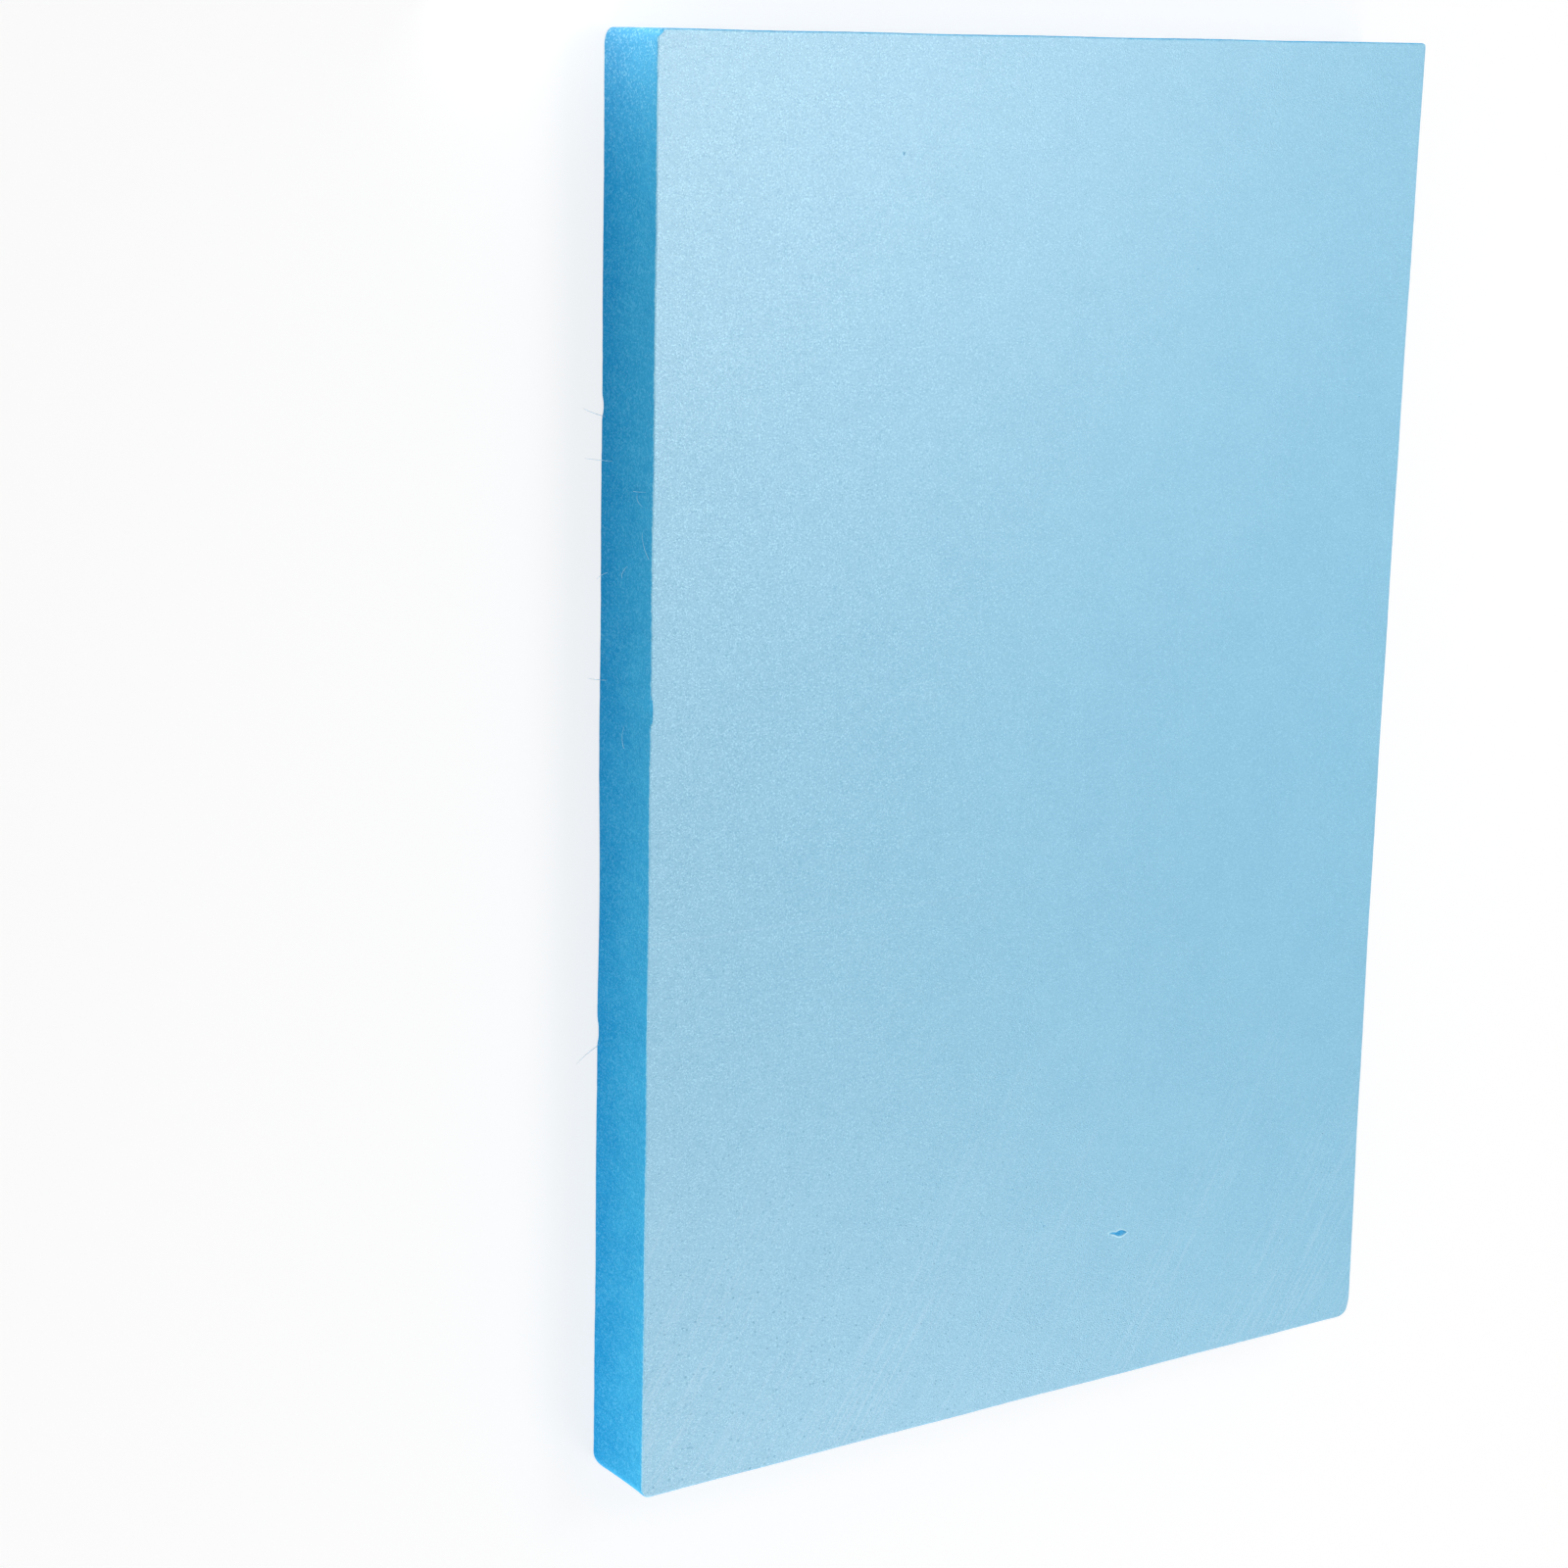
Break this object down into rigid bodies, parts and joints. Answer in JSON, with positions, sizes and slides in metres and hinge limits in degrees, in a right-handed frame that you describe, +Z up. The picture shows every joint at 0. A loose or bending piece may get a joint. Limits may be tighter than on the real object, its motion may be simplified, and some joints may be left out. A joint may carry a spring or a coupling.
{
  "type": "polyurethane foam sheet",
  "caption": "Flat rectangular sheet of light blue closed-cell foam with planed faces, sawn edges and softly blunted corners; a blank to cut, carve, pad or pack with.",
  "frame": {"origin": "middle of the underside, on the surface that the sheet lies on", "axes": "+X across the width, +Y along the length towards the head end, +Z up out of the nicked face"},
  "size_m": [0.2, 0.3, 0.02],
  "materials": {
    "foam": "planed closed-cell foam, matt, with a fine open grain on the sawn edges"
  },
  "bodies": {
    "root": {"foam_sheet": "foam"}
  },
  "joints": []
}
